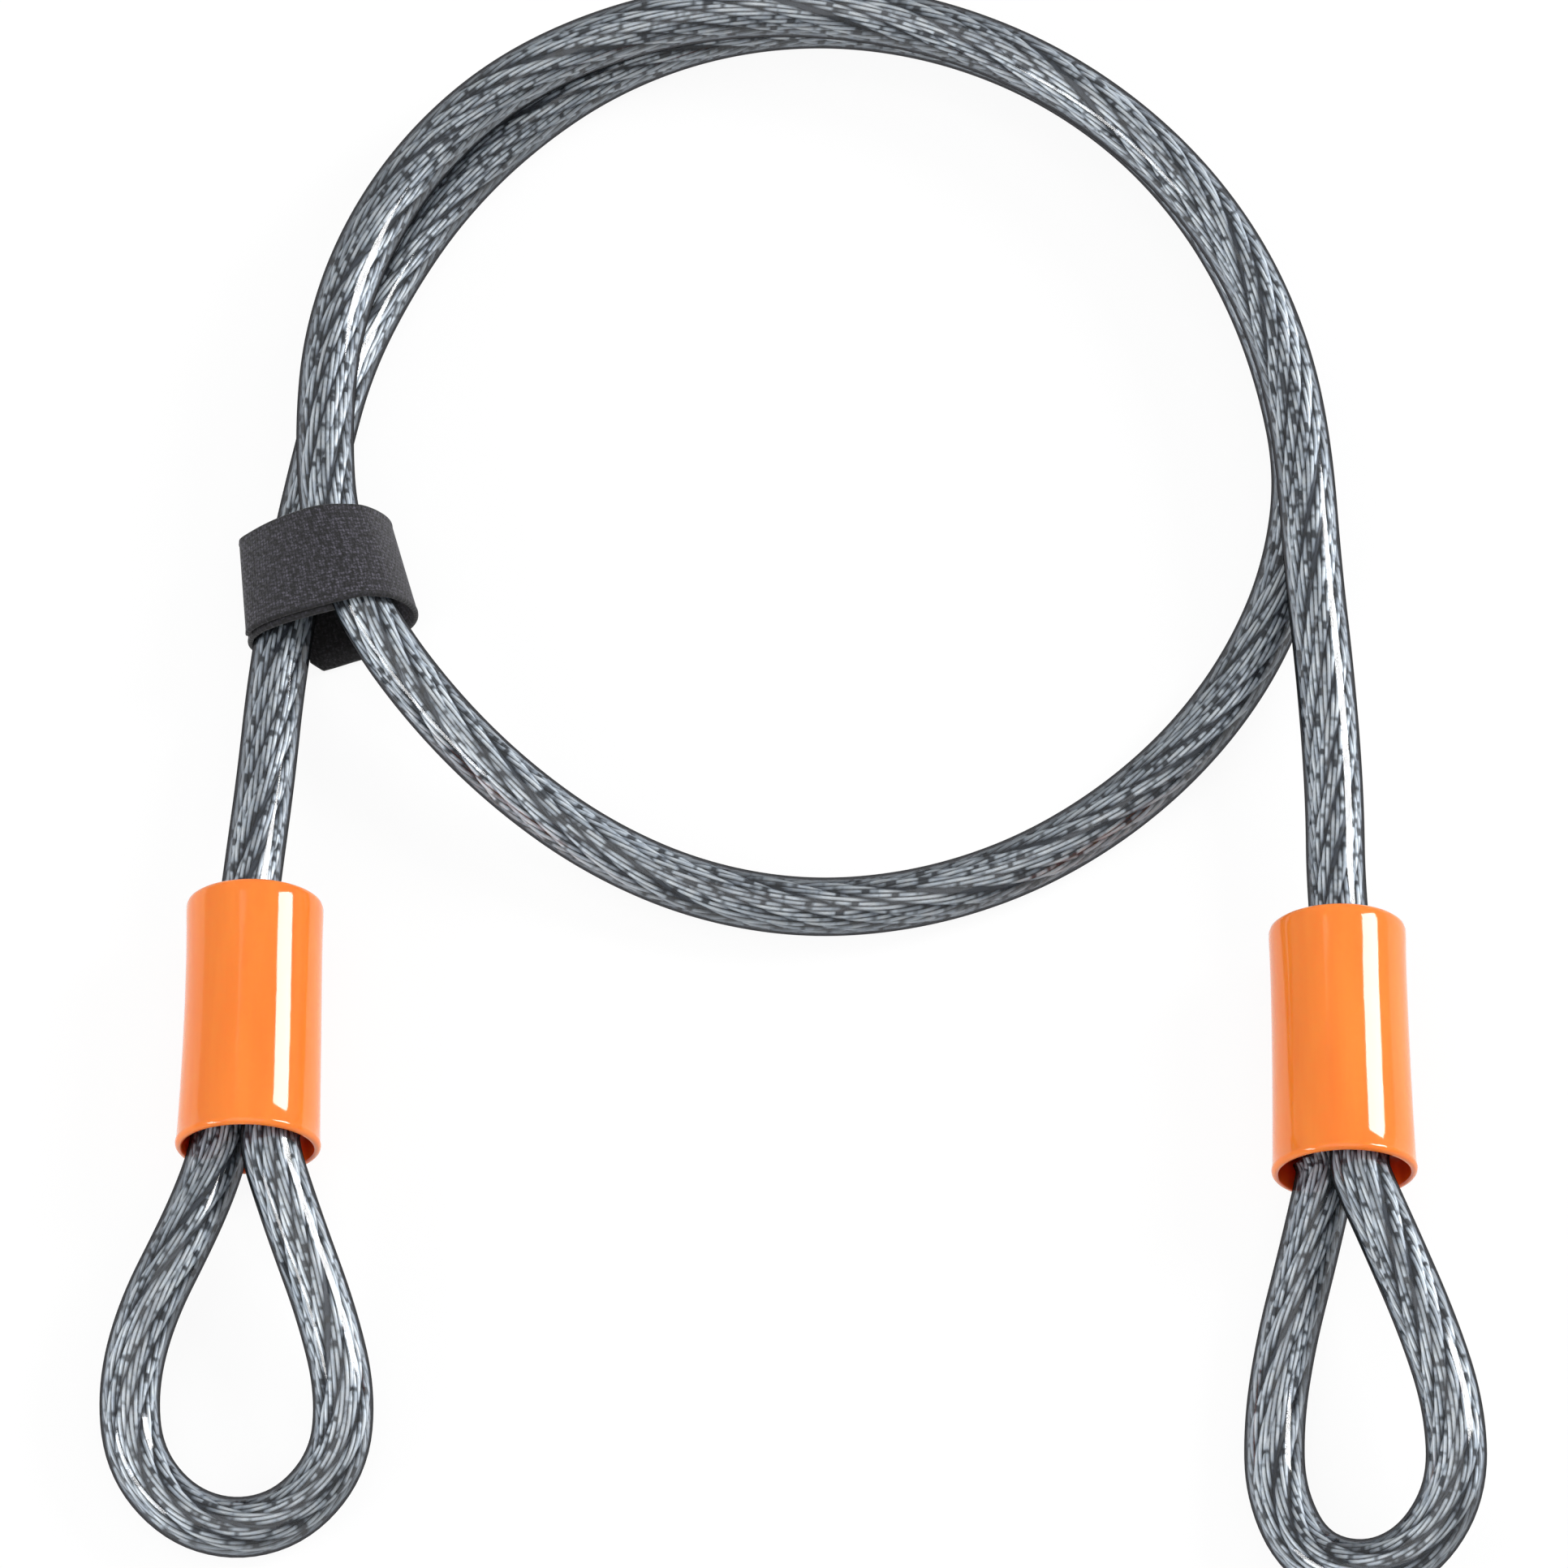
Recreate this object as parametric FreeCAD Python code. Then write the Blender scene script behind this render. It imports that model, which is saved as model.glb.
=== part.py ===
import FreeCAD, Part
import math
import os

# Double-loop security cable, laid as a ring of one and a half turns on a flat surface.
# Millimetres. +Z is up, the eyes point to -Y, and the ring lies towards +Y.
# The routes are written from the ring's centre on the floor. The finished part is moved so that its
# origin is the middle of its footprint, on the floor.

# Cable
cable_diameter = 10.0
rope_diameter = 7.0
turn_gap = 0.6

# Ring: radius, lean and height of the cable's middle at each quarter turn, clockwise from the left.
# The lean is in degrees, outward along the cable.
ring_radii = [85.8, 89.1, 84.0, 82.3, 84.6, 86.1, 84.3]
ring_leans = [-9.7, 1.0, 0.3, -3.0, 3.0, -4.8, 4.0]
ring_lead = 10.0

# Sleeves. Depths are measured from the mouth that the eye comes out of.
sleeve_length = 44.5
sleeve_mouth_wall = 1.9
sleeve_waist_wall = 1.05
sleeve_tail_wall = 1.25
sleeve_waist_to_tail = 8.9
sleeve_end_wall = 2.5
sleeve_mouth_flare = 0.6
sleeve_flare_depth = 8.0
sleeve_mouth_rounding = 0.5
sleeve_tail_rounding = 1.0
sleeve_bore_clearance = 0.05
sleeve_hole_clearance = 0.15

# The two legs of an eye inside its sleeve. The main one goes on as the cable, and the dead one ends.
jacket_depth = 5.2
rope_joint_depth = 31.0
main_leg_clearance = 0.3
dead_leg_clearance = 0.35
dead_end_clearance = 0.5
rope_end_gap = 0.7708

# Ferrules, between the eye's jacket and the place where the cable's jacket starts
ferrule_start_gap = 0.8
ferrule_end_gap = 1.0
ferrule_clearance = 0.05
ferrule_rounding = 1.0

# Where the sleeves lie, and how far the right one is rolled about its own length
left_mouth_x = -94.5
left_mouth_y = -130.2
right_mouth_x = 88.0
right_mouth_y = -134.7
right_roll = 50.0

# Strap
strap_thickness = 1.0
strap_width = 19.6
strap_clearance = 0.35
strap_bulge = 0.6
patch_thickness = 0.25
peel_gap = 0.25
strap_lean = 10.9
strap_tilt = 0.09
strap_top = 22.0
strap_middle = (-84.45, -24.1)
strap_end_gap = 0.2
strap_hinge_run = 1.5
strap_overlap_start = 5.5
loop_patch_span = (0.04, 0.96)
hook_patch_span = (0.28, 0.97)

# Turns of the strap beside the cables, at its edge towards the eyes (lower) and its other edge (upper).
# A floor turn is its place across the strap and its radius, and a raised turn has its height between.
lower_floor_turns = ((-9.5, 3.0), (9.8, 3.5))
upper_floor_turns = ((-6.0, 3.0), (6.5, 3.5))
lower_shoulder = (10.1, 13.5, 4.0)
upper_shoulder = (6.9, 12.5, 4.5)
upper_fold = (-6.83, 10.94, 3.0)

# Free end of the strap: how far it turns round the cable, in degrees, and how far it runs on
lower_end_turn = 25.0
upper_end_turn = 12.0
lower_end_run = 0.2
upper_end_run = 3.0

# Tab under the strap
tab_thickness = 0.7
tab_width = 12.0
tab_left = -4.7
tab_reach = 3.0
tab_root = 6.0
tab_clearance = 0.2
tab_chamfer = 2.0
tab_end_slope = 7.4

# Modelling: share of a straight run that an arc at its end takes, spacing of the points where a path is
# cut by a plane, and how far a cutting bar reaches past what it cuts
bend_share = 0.45
crossing_spacing = 0.25
cut_margin = 1.0

# Derived sizes of the cable and the ring
cable_radius = cable_diameter / 2
rope_radius = rope_diameter / 2
self_gap_spacing = 6 * cable_diameter
strap_cable_height = strap_thickness + tab_thickness + tab_clearance + cable_radius
low_height = cable_radius
high_height = low_height + cable_diameter + turn_gap
ring_heights = [
    strap_cable_height,
    low_height,
    low_height,
    low_height,
    strap_cable_height + cable_diameter + turn_gap,
    high_height,
    high_height,
]

# Derived sizes of the sleeves, legs and ferrules
main_leg_offset = cable_radius + main_leg_clearance
dead_leg_offset = cable_radius + dead_leg_clearance
dead_end_depth = rope_joint_depth - dead_end_clearance
main_leg_slope = (main_leg_offset + dead_leg_offset - rope_diameter - rope_end_gap) / dead_end_depth
bore_radius = dead_leg_offset + cable_radius + sleeve_bore_clearance
mouth_radius = bore_radius + sleeve_mouth_wall
waist_radius = bore_radius + sleeve_waist_wall
tail_radius = bore_radius + sleeve_tail_wall
sleeve_floor_depth = sleeve_length - sleeve_end_wall
sleeve_waist_depth = sleeve_length - sleeve_waist_to_tail
ferrule_start = jacket_depth + ferrule_start_gap
ferrule_end = rope_joint_depth - ferrule_end_gap
ferrule_radius = bore_radius - ferrule_clearance


def vector(x, y, z):
    return FreeCAD.Vector(x, y, z)


def unit(direction):
    return direction / direction.Length


# Routes of the cable's free stretches: points chosen by eye along the cable's middle

left_eye_route = [
    (-9.7, 14.5, -0.7),
    (-16.4, 28.5, -2.6),
    (-19.1, 41.0, -4.6),
    (-17.6, 52.8, -6.4),
    (-10.2, 61.6, -7.2),
    (-0.4, 64.6, -7.3),
    (9.2, 61.6, -7.2),
    (16.2, 52.6, -6.4),
    (17.0, 41.0, -4.6),
    (13.8, 28.5, -2.6),
    (8.8, 14.5, -0.7),
]
right_eye_route = [
    (8.4, 14.5, 5.0),
    (13.2, 29.0, 5.8),
    (16.1, 43.0, 5.8),
    (16.4, 56.5, 4.8),
    (10.9, 66.4, 2.4),
    (2.1, 69.6, -1.0),
    (-7.3, 65.6, -4.4),
    (-12.1, 54.0, -6.7),
    (-12.0, 41.0, -7.3),
    (-9.7, 27.5, -6.6),
    (-6.1, 14.0, -5.5),
]
eye_straight = 3.3
left_tail_route = [
    (-93.4, -61.5, 10.6),
    (-92.0, -43.0, 7.9),
]
left_tail_start = 18.6
right_tail_route = [
    (87.8, -45.0, 14.5),
    (88.5, -65.0, 13.3),
]
right_tail_start = 19.0
tail_end_run = 15.0


def ring_station(index):
    """Middle of the cable and its direction at a quarter-turn station."""
    angle = math.radians(90 * index)
    outward = vector(-math.cos(angle), math.sin(angle), 0)
    forward = vector(math.sin(angle), math.cos(angle), 0)
    lean = math.radians(ring_leans[index])
    place = outward * ring_radii[index] + vector(0, 0, ring_heights[index])
    return place, forward * math.cos(lean) + outward * math.sin(lean)


def arc_from(start, direction, end):
    """Arc that leaves start along direction and reaches end."""
    chord = end - start
    along = unit(chord)
    across = direction - along * direction.dot(along)
    if across.Length < 1e-6:
        return Part.LineSegment(start, end).toShape()
    half = direction.getAngle(chord) / 2
    middle = start + chord / 2 + unit(across) * (chord.Length / 2 * math.tan(half))
    return Part.Arc(start, middle, end).toShape()


def biarc(start, leaving, end, arriving):
    """Two arcs that join smoothly between two places with given directions."""
    step = end - start
    both = leaving + arriving
    spread = 2 * (1 - leaving.dot(arriving))
    reach = step.dot(both)
    size = (math.sqrt(reach * reach + spread * step.dot(step)) - reach) / spread
    first_corner = start + leaving * size
    last_corner = end - arriving * size
    joint = (first_corner + last_corner) / 2
    turn = unit(last_corner - first_corner)
    return [arc_from(start, leaving, joint), arc_from(joint, turn, end)]


def ring_edges():
    """The ring's path: a straight lead, quarter turns of biarcs, and a straight lead."""
    places = [ring_station(index) for index in range(len(ring_radii))]
    first, first_direction = places[0]
    last, last_direction = places[-1]
    start = first - first_direction * ring_lead
    end = last + last_direction * ring_lead
    edges = [Part.LineSegment(start, first).toShape()]
    for (place, direction), (next_place, next_direction) in zip(places, places[1:]):
        edges += biarc(place, direction, next_place, next_direction)
    edges.append(Part.LineSegment(last, end).toShape())
    return edges, (start, first_direction), (end, last_direction)


def rounded_edges(points):
    """Straight runs joined by tangent arcs, each as large as its two runs allow."""
    edges = []
    radii = []
    start = points[0]
    for before, corner, after in zip(points, points[1:], points[2:]):
        incoming = unit(corner - before)
        outgoing = unit(after - corner)
        shorter = min((corner - before).Length, (after - corner).Length)
        half = incoming.getAngle(outgoing) / 2
        cut = bend_share * shorter
        radius = cut / math.tan(half)
        arc_start = corner - incoming * cut
        arc_end = corner + outgoing * cut
        inward = unit(outgoing - incoming)
        arc_middle = corner + inward * (radius / math.cos(half) - radius)
        edges.append(Part.LineSegment(start, arc_start).toShape())
        edges.append(Part.Arc(arc_start, arc_middle, arc_end).toShape())
        radii.append(radius)
        start = arc_end
    edges.append(Part.LineSegment(start, points[-1]).toShape())
    return edges, radii


def pipe(edges, radius):
    """Solid round bar along a path."""
    path = Part.Wire(edges)
    first = edges[0]
    start = first.valueAt(first.FirstParameter)
    direction = first.tangentAt(first.FirstParameter)
    section = Part.Wire([Part.makeCircle(radius, start, direction)])
    return path.makePipeShell([section], True, False)


def path_length(edges):
    return sum(edge.Length for edge in edges)


def report_pipe(name, shape, section, edges, radii):
    expected = section * path_length(edges)
    text = ", ".join("%.1f" % radius for radius in radii)
    print("%s: length %.1f, radii %s, volume / (section x length) = %.4f, valid %s"
          % (name, path_length(edges), text, shape.Volume / expected, shape.isValid()))


rope_section = math.pi * rope_radius ** 2
cable_section = math.pi * cable_radius ** 2


def jacket_and_rope(name, edges, radii, rope_edges=None):
    """The hollow jacket along a path and the rope inside it, which may reach further."""
    rope = pipe(rope_edges or edges, rope_radius)
    jacket = pipe(edges, cable_radius).cut(pipe(edges, rope_radius))
    report_pipe(name + "_jacket", jacket, cable_section - rope_section, edges, radii)
    report_pipe(name + "_rope", rope, rope_section, rope_edges or edges, radii)
    return jacket, rope


def least_self_gap(edges, spacing):
    """Least gap between two turns of a round bar along a path, measured on points."""
    points = []
    along = []
    length = 0
    for edge in edges:
        count = max(2, int(edge.Length))
        for place in edge.discretize(count)[:-1]:
            points.append(place)
        step = edge.Length / (count - 1)
        along += [length + step * index for index in range(count - 1)]
        length += edge.Length
    least = 1e9
    for first in range(len(points)):
        for second in range(first + 1, len(points)):
            if along[second] - along[first] > spacing:
                least = min(least, (points[second] - points[first]).Length)
    return least - cable_diameter


class EndUnit:
    """A sleeve with its ferrule and eye, in the sleeve's own directions."""

    def __init__(self, mouth_x, mouth_y, roll, main_side):
        self.mouth = vector(mouth_x, mouth_y, mouth_radius)
        self.inward = vector(0, 1, 0)
        angle = math.radians(roll)
        self.main = vector(main_side * math.cos(angle), 0, math.sin(angle))

    def axis_point(self, depth):
        return self.mouth + self.inward * depth

    def main_point(self, depth):
        return self.axis_point(depth) + self.main * (main_leg_offset - main_leg_slope * depth)

    def dead_point(self, depth):
        return self.axis_point(depth) - self.main * dead_leg_offset

    def eye_point(self, point):
        across, reach, rise = point
        return self.mouth + vector(across, -reach, rise)

    def at(self, depth, radius):
        """Point of a profile that is turned about the sleeve's axis."""
        return self.axis_point(depth) + vector(radius, 0, 0)

    def turned(self, profile):
        """Solid of revolution about the sleeve's axis."""
        face = Part.Face(Part.Wire(profile))
        return face.revolve(self.mouth, self.inward, 360)


left_unit = EndUnit(left_mouth_x, left_mouth_y, 0, -1)
right_unit = EndUnit(right_mouth_x, right_mouth_y, right_roll, 1)


def line(start, end):
    return Part.LineSegment(start, end).toShape()


def arc(start, middle, end):
    return Part.Arc(start, middle, end).toShape()


# Share of a rounding's radius that its middle stands back from each of the two faces
arc_inset = 1 - math.sqrt(0.5)


def make_sleeve(end):
    """Moulded cover: a tube with a slight waist, a flared mouth and an end wall with a hole."""
    mouth_edge = sleeve_mouth_rounding
    tail_edge = sleeve_tail_rounding
    mouth_inset = mouth_edge * arc_inset
    tail_inset = tail_edge * arc_inset
    floor = sleeve_floor_depth
    tail = sleeve_length
    profile = [
        arc(end.at(mouth_edge, mouth_radius),
            end.at(mouth_inset, mouth_radius - mouth_inset),
            end.at(0, mouth_radius - mouth_edge)),
        line(end.at(0, mouth_radius - mouth_edge), end.at(0, bore_radius + sleeve_mouth_flare)),
        line(end.at(0, bore_radius + sleeve_mouth_flare), end.at(sleeve_flare_depth, bore_radius)),
        line(end.at(sleeve_flare_depth, bore_radius), end.at(floor, bore_radius)),
        line(end.at(floor, bore_radius), end.at(floor, 0)),
        line(end.at(floor, 0), end.at(tail, 0)),
        line(end.at(tail, 0), end.at(tail, tail_radius - tail_edge)),
        arc(end.at(tail, tail_radius - tail_edge),
            end.at(tail - tail_inset, tail_radius - tail_inset),
            end.at(tail - tail_edge, tail_radius)),
        arc(end.at(tail - tail_edge, tail_radius),
            end.at(sleeve_waist_depth, waist_radius),
            end.at(mouth_edge, mouth_radius)),
    ]
    hole_start = end.main_point(floor - cut_margin)
    hole_end = end.main_point(tail + cut_margin)
    hole = pipe([line(hole_start, hole_end)], cable_radius + sleeve_hole_clearance)
    return end.turned(profile).cut(hole)


def make_ferrule(end, rope):
    """Pressed tube over both legs of the rope, with rounded ends."""
    radius = ferrule_radius
    near = ferrule_start
    far = ferrule_end
    edge = ferrule_rounding
    inset = edge * arc_inset
    profile = [
        line(end.at(near, 0), end.at(near, radius - edge)),
        arc(end.at(near, radius - edge), end.at(near + inset, radius - inset),
            end.at(near + edge, radius)),
        line(end.at(near + edge, radius), end.at(far - edge, radius)),
        arc(end.at(far - edge, radius), end.at(far - inset, radius - inset),
            end.at(far, radius - edge)),
        line(end.at(far, radius - edge), end.at(far, 0)),
        line(end.at(far, 0), end.at(near, 0)),
    ]
    return end.turned(profile).cut(rope)


def make_eye(name, end, route):
    """The eye's jacket between its two cuts, and its rope through the ferrule."""
    points = [end.main_point(jacket_depth), end.main_point(-eye_straight)]
    points += [end.eye_point(point) for point in route]
    points += [end.dead_point(-eye_straight), end.dead_point(jacket_depth)]
    edges, radii = rounded_edges(points)
    main_rope = line(end.main_point(rope_joint_depth), points[0])
    dead_rope = line(points[-1], end.dead_point(dead_end_depth))
    return jacket_and_rope(name, edges, radii, [main_rope] + edges + [dead_rope])


def make_tail(name, end, start_run, route, ring_place, ring_direction):
    """The stretch from inside the sleeve to the ring's straight lead."""
    first = end.main_point(rope_joint_depth)
    along = unit(end.main_point(sleeve_length) - first)
    points = [first, first + along * start_run]
    points += [vector(*point) for point in route]
    points += [ring_place + ring_direction * tail_end_run, ring_place]
    edges, radii = rounded_edges(points)
    jacket, rope = jacket_and_rope(name, edges, radii)
    return jacket, rope, edges


# Strap: a belt round the cables, in two sections that a ruled loft joins

strap_angle = math.radians(strap_lean)
strap_origin = vector(strap_middle[0], strap_middle[1], 0)
strap_along = vector(-math.sin(strap_angle), math.cos(strap_angle), 0)
strap_across = vector(math.cos(strap_angle), math.sin(strap_angle), 0)


def section_place(station, across, height):
    """Place on a section plane, which leans back towards the ring near the floor."""
    along = station + strap_tilt * (strap_top - height)
    return strap_origin + strap_across * across + strap_along * along + vector(0, 0, height)


def section_distance(place, station):
    along = station + strap_tilt * (strap_top - place.z)
    return (place - strap_origin).dot(strap_along) - along


def crossing(edges, station):
    """Where a path crosses a section plane, as (across, height)."""
    best = None
    for edge in edges:
        points = edge.discretize(max(2, int(edge.Length / crossing_spacing)))
        for before, after in zip(points, points[1:]):
            low = section_distance(before, station)
            high = section_distance(after, station)
            if low * high <= 0 and low != high:
                place = before + (after - before) * (low / (low - high))
                across = (place - strap_origin).dot(strap_across)
                if abs(across) < strap_width:
                    best = (across, place.z)
    return best


def right_of(direction):
    return (direction[1], -direction[0])


def tangent_direction(first, second):
    """Direction of a belt that runs from one pulley to the next, both on its left."""
    across = second[0] - first[0]
    rise = second[1] - first[1]
    turn = math.asin((first[2] - second[2]) / math.hypot(across, rise))
    angle = math.atan2(rise, across) + turn
    return (math.cos(angle), math.sin(angle))


def rim(pulley, direction, grow):
    """Point of a pulley where a belt of this direction touches it."""
    side = right_of(direction)
    radius = pulley[2] + grow
    return (pulley[0] + side[0] * radius, pulley[1] + side[1] * radius)


def moved(point, direction, distance):
    return (point[0] + direction[0] * distance, point[1] + direction[1] * distance)


def along_line(start, end, share):
    return (start[0] + (end[0] - start[0]) * share, start[1] + (end[1] - start[1]) * share)


def belt_line(pulleys, grow, skip, run, last_direction=None):
    """Lines and arcs of a belt round pulleys, as point lists in the section.

    It starts skip past the first pulley's rim. With a last direction it goes round the last
    pulley and ends run past it, and otherwise it ends at that pulley's rim.
    """
    directions = [tangent_direction(a, b) for a, b in zip(pulleys, pulleys[1:])]
    if last_direction:
        directions.append(last_direction)
    pieces = []
    start = moved(rim(pulleys[0], directions[0], grow), directions[0], skip)
    for index in range(1, len(directions)):
        pulley = pulleys[index]
        arriving = directions[index - 1]
        leaving = directions[index]
        middle = unit(vector(arriving[0] + leaving[0], arriving[1] + leaving[1], 0))
        touch = rim(pulley, arriving, grow)
        leave = rim(pulley, leaving, grow)
        pieces.append([start, touch])
        pieces.append([touch, rim(pulley, (middle.x, middle.y), grow), leave])
        start = leave
    if last_direction:
        pieces.append([start, moved(start, directions[-1], run)])
    else:
        pieces.append([start, rim(pulleys[-1], directions[-1], grow)])
    return pieces


def section_wire(station, near, far):
    """Closed wire between two belt lines, on the strap's section plane."""
    def place(point):
        return section_place(station, point[0], point[1])

    def edge(points):
        if len(points) == 2:
            return line(place(points[0]), place(points[1]))
        return arc(place(points[0]), place(points[1]), place(points[2]))

    edges = [edge(points) for points in near]
    edges.append(line(place(near[-1][-1]), place(far[-1][-1])))
    edges += [edge(points[::-1]) for points in far[::-1]]
    edges.append(line(place(far[0][0]), place(near[0][0])))
    return Part.Wire(edges)


layer_step = strap_thickness + 2 * patch_thickness + peel_gap


class StrapSection:
    """One end of the strap's conical loop, fitted round the two cables there."""

    def __init__(self, station, fold, floor_turns, shoulder, end_turn, end_run):
        self.station = station
        high_radius = cable_radius + strap_clearance + strap_bulge
        self.high_cable = crossing(coil_edges, station) + (high_radius,)
        if fold is None:
            low_cable = crossing(left_tail_edges, station)
            fold = low_cable + (cable_radius + strap_clearance,)
        self.fold = fold
        self.floor_turns = [(across, radius + strap_thickness, radius) for across, radius in floor_turns]
        self.shoulder = shoulder
        self.end_turn = math.radians(end_turn)
        self.end_run = end_run
        across, height, radius = fold
        self.outer_fold = (across, height, radius + layer_step)
        across, height, radius = self.high_cable
        self.inner_start = (across, height, radius - layer_step)

    def band(self):
        pulleys = [self.inner_start, self.fold] + self.floor_turns + [self.shoulder, self.high_cable]
        last = tangent_direction(self.high_cable, self.outer_fold)
        near = belt_line(pulleys, 0, strap_overlap_start, strap_hinge_run, last)
        far = belt_line(pulleys, strap_thickness, strap_overlap_start, strap_hinge_run, last)
        return section_wire(self.station, near, far)

    def patch(self, pulleys, skip, low, high, span):
        """A thin layer on a straight panel, over a share of the panel's length."""
        near = belt_line(pulleys, low, skip, 0)[0]
        far = belt_line(pulleys, high, skip, 0)[0]

        def shortened(panel):
            return [along_line(panel[0], panel[1], share) for share in span]

        return section_wire(self.station, [shortened(near)], [shortened(far)])

    def loop_patch(self):
        low = strap_thickness
        return self.patch([self.inner_start, self.fold], strap_overlap_start,
                          low, low + patch_thickness, loop_patch_span)

    def hook_patch(self):
        return self.patch([self.high_cable, self.outer_fold], strap_hinge_run + strap_end_gap,
                          -patch_thickness, 0, hook_patch_span)

    def flap(self):
        direction = tangent_direction(self.high_cable, self.outer_fold)
        angle = math.atan2(direction[1], direction[0]) + self.end_turn
        last = (math.cos(angle), math.sin(angle))
        pulleys = [self.high_cable, self.outer_fold]
        skip = strap_hinge_run + strap_end_gap
        near = belt_line(pulleys, 0, skip, self.end_run, last)
        far = belt_line(pulleys, strap_thickness, skip, self.end_run, last)
        return section_wire(self.station, near, far)

    def hinge(self):
        direction = tangent_direction(self.high_cable, self.outer_fold)
        outer = rim(self.high_cable, direction, strap_thickness)
        point = moved(outer, direction, strap_hinge_run)
        return section_place(self.station, point[0], point[1])


def strap_loft(first, second):
    return Part.makeLoft([first, second], True, True)


def make_tab():
    """Short stiff tab on the strap's lower panel, with one chamfered corner."""
    bottom = strap_thickness
    edge = strap_tilt * strap_top - strap_width / 2

    def corner(across, along):
        return strap_origin + strap_across * across + strap_along * along + vector(0, 0, bottom)

    left = tab_left
    right = tab_left + tab_width
    end = -strap_width / 2 - tab_reach
    rise = (tab_width - tab_chamfer) * math.tan(math.radians(tab_end_slope))
    points = [
        corner(left, edge + tab_root),
        corner(left, end + tab_chamfer),
        corner(left + tab_chamfer, end),
        corner(right, end + rise),
        corner(right, edge + tab_root),
    ]
    outline = Part.makePolygon(points + points[:1])
    return Part.Face(outline).extrude(vector(0, 0, tab_thickness))


# Build

parts = {}
coil_edges, coil_start, coil_end = ring_edges()
ring_curve_radii = [edge.Curve.Radius for edge in coil_edges if hasattr(edge.Curve, "Radius")]
parts["coil_jacket"], parts["coil_rope"] = jacket_and_rope("coil", coil_edges, ring_curve_radii)
print("least gap of the coil to itself: %.2f mm" % least_self_gap(coil_edges, self_gap_spacing))

start_place, start_direction = coil_start
end_place, end_direction = coil_end
parts["left_tail_jacket"], parts["left_tail_rope"], left_tail_edges = make_tail(
    "left_tail", left_unit, left_tail_start, left_tail_route, start_place, -start_direction)
parts["right_tail_jacket"], parts["right_tail_rope"], right_tail_edges = make_tail(
    "right_tail", right_unit, right_tail_start, right_tail_route[::-1], end_place, end_direction)

parts["left_eye_jacket"], parts["left_eye_rope"] = make_eye("left_eye", left_unit, left_eye_route)
parts["right_eye_jacket"], parts["right_eye_rope"] = make_eye("right_eye", right_unit, right_eye_route)

for side, end in (("left", left_unit), ("right", right_unit)):
    parts[side + "_sleeve"] = make_sleeve(end)
    parts[side + "_ferrule"] = make_ferrule(end, parts[side + "_eye_rope"])

half_width = strap_width / 2
lower = StrapSection(-half_width, None, lower_floor_turns, lower_shoulder,
                     lower_end_turn, lower_end_run)
upper = StrapSection(half_width, upper_fold, upper_floor_turns, upper_shoulder,
                     upper_end_turn, upper_end_run)
parts["strap_band"] = strap_loft(lower.band(), upper.band())
parts["strap_end"] = strap_loft(lower.flap(), upper.flap())
parts["strap_loop_patch"] = strap_loft(lower.loop_patch(), upper.loop_patch())
parts["strap_hook_patch"] = strap_loft(lower.hook_patch(), upper.hook_patch())
parts["strap_tab"] = make_tab()

# Move the part so that the middle of its footprint is the origin
box = Part.makeCompound(list(parts.values())).optimalBoundingBox(False, False)
shift = vector(-(box.XMin + box.XMax) / 2, -(box.YMin + box.YMax) / 2, -box.ZMin)
print("box before the move", box)
print("shift", shift)
print("hinge", lower.hinge() + shift, upper.hinge() + shift)

os.makedirs("parts", exist_ok=True)
for name, shape in parts.items():
    solid = shape.copy()
    solid.translate(shift)
    solid.exportStep("parts/%s.step" % name)
    print("%-20s solids %d valid %s volume %.1f" % (name, len(solid.Solids), solid.isValid(), solid.Volume))
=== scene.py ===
import math

import bmesh
import bpy
import numpy as np
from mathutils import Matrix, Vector


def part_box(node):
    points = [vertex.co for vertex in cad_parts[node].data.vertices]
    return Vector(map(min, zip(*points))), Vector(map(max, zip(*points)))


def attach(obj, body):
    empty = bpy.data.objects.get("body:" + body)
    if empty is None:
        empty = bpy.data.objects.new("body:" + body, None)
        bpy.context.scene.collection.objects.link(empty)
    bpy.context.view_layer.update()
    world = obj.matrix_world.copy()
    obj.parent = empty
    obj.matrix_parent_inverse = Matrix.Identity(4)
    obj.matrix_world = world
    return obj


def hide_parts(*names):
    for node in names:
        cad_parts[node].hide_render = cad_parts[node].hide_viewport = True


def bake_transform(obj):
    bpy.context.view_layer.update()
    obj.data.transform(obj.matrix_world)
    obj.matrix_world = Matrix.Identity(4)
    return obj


# Cable lock: a steel cable in a clear smoke-grey jacket, with an eye at each end, coiled and tied by a strap.
# Routes are in millimetres from the ring's centre on the floor, as in the CAD source.

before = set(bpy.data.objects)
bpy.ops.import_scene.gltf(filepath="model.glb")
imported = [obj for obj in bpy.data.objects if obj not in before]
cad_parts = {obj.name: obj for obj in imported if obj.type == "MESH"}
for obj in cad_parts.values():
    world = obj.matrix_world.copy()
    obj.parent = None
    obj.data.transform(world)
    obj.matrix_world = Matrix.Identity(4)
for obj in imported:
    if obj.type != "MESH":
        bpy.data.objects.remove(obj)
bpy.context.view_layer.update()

MM = 0.001
cable_radius = 5.0
strap_width = 19.6
tab_width = 12.0

# Middle of each sleeve's mouth
left_mouth = (-94.5, -130.2, 12.3)
right_mouth = (88.0, -134.7, 12.3)

sleeve_low, sleeve_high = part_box("left_sleeve")
shift_x = (sleeve_low.x + sleeve_high.x) / 2 / MM - left_mouth[0]
shift_y = sleeve_low.y / MM - left_mouth[1]


def place(x, y, z):
    """A point of the routes in the shared frame, in metres."""
    return Vector((x + shift_x, y + shift_y, z)) * MM


# Camera: a long lens, 24 degrees off the vertical

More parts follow.
